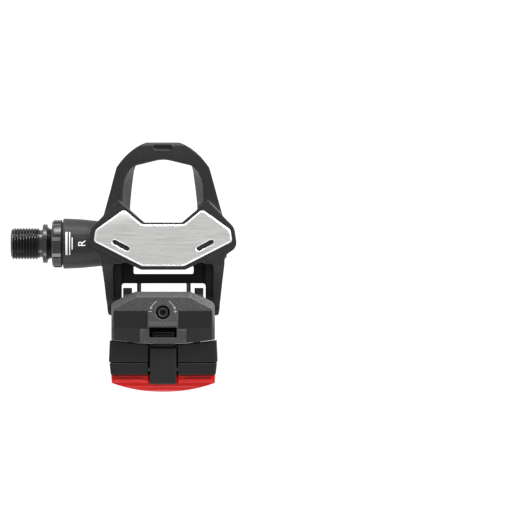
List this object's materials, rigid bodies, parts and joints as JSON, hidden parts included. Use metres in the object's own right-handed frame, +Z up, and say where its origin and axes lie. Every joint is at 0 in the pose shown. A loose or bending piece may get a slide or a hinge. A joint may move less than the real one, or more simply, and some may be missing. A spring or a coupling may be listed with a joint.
{
  "type": "clipless road pedal",
  "caption": "Right-hand clipless road pedal with a steel cleat plate, a sprung release lever and a clip-on red rear light.",
  "frame": {"origin": "on the spindle's axis, in the plane of the seat that meets the crank", "axes": "+X outboard along the spindle, +Y towards the toe, +Z up out of the cleat plate"},
  "size_m": [0.0991, 0.1094, 0.0266],
  "materials": {
    "black_steel": "black satin",
    "bearing_steel": "ground",
    "rubber": "matte",
    "spring_steel": "oiled",
    "composite": "speckled moulding",
    "lever_composite": "speckled moulding",
    "stainless": "brushed",
    "light_plastic": "satin",
    "red_lens": "clear gloss red",
    "board": "solder mask",
    "emitter": "satin",
    "cell": "foil",
    "contact": "plated"
  },
  "bodies": {
    "spindle_unit": {"spindle": "black_steel", "ball_bearing_inner_ring": "bearing_steel", "bearing_circlip": "spring_steel"},
    "body_unit": {"pedal_body": "composite", "cleat_plate": "stainless", "lock_ring": "black_steel", "lip_seal": "rubber", "ball_bearing_outer_ring": "bearing_steel", "bearing_shield_inboard": "rubber", "bearing_shield_outboard": "rubber", "needle_bearing_shell": "bearing_steel", "hinge_pin": "spring_steel", "torsion_spring_outboard": "spring_steel", "torsion_spring_inboard": "spring_steel"},
    "balls": {"ball_cage": "bearing_steel"},
    "needles": {"needle_cage": "bearing_steel"},
    "lever_unit": {"release_lever": "lever_composite"},
    "screw_unit": {"tension_screw": "black_steel", "screw_clip": "spring_steel"},
    "nut_unit": {"tension_nut": "spring_steel"},
    "light_unit": {"light_front_shell": "light_plastic", "light_gasket": "rubber", "light_rear_shell": "light_plastic", "light_lens": "red_lens", "clip_pin": "spring_steel", "clip_spring": "spring_steel", "charge_contact_inboard": "contact", "charge_contact_outboard": "contact", "shell_screw_outboard": "spring_steel", "shell_screw_inboard": "spring_steel", "led_board": "board", "led_1": "emitter", "led_2": "emitter", "led_3": "emitter", "led_4": "emitter", "battery_cell": "cell"},
    "clip_unit": {"light_clip": "light_plastic"},
    "button_unit": {"mode_button": "rubber"}
  },
  "joints": [
    {"name": "pedal_spin", "type": "hinge", "parent": "spindle_unit", "child": "body_unit", "pos_m": [0, 0, 0], "axis": [1, 0, 0], "continuous": true},
    {"name": "ball_cage_spin", "type": "hinge", "parent": "spindle_unit", "child": "balls", "pos_m": [0, 0, 0], "axis": [1, 0, 0], "continuous": true},
    {"name": "needle_cage_spin", "type": "hinge", "parent": "spindle_unit", "child": "needles", "pos_m": [0, 0, 0], "axis": [1, 0, 0], "continuous": true},
    {"name": "lever_hinge", "type": "hinge", "parent": "body_unit", "child": "lever_unit", "pos_m": [0.053, -0.0272, -0.0015], "axis": [1, 0, 0], "range_deg": [0, 18], "stiffness_Nm_per_rad": 0.15, "springref_deg": -20.05, "deforming": ["torsion_spring_outboard", "torsion_spring_inboard"]},
    {"name": "tension_screw_turn", "type": "hinge", "parent": "lever_unit", "child": "screw_unit", "pos_m": [0.053, -0.0301, 0.01], "axis": [0, 0, -1], "range_deg": [0, 720]},
    {"name": "tension_nut_rise", "type": "slide", "parent": "lever_unit", "child": "nut_unit", "axis": [0, 0, 1], "range_m": [0, 0.0016]},
    {"name": "light_slide", "type": "slide", "parent": "lever_unit", "child": "light_unit", "axis": [0, -1, 0], "range_m": [0, 0.02]},
    {"name": "clip_hinge", "type": "hinge", "parent": "light_unit", "child": "clip_unit", "pos_m": [0.053, -0.055, 0.0059], "axis": [-1, 0, 0], "range_deg": [0, 8], "stiffness_Nm_per_rad": 0.004, "springref_deg": -11.46},
    {"name": "button_press", "type": "slide", "parent": "light_unit", "child": "button_unit", "axis": [0, 0, 1], "range_m": [0, 0.0006], "stiffness_N_per_m": 150, "springref_m": -0.0002}
  ],
  "couplings": [
    {"joint": "ball_cage_spin", "follows": "pedal_spin", "ratio": 0.603},
    {"joint": "needle_cage_spin", "follows": "pedal_spin", "ratio": 0.6},
    {"joint": "tension_screw_turn", "follows": "tension_nut_rise", "rad_per_m": 7854}
  ]
}
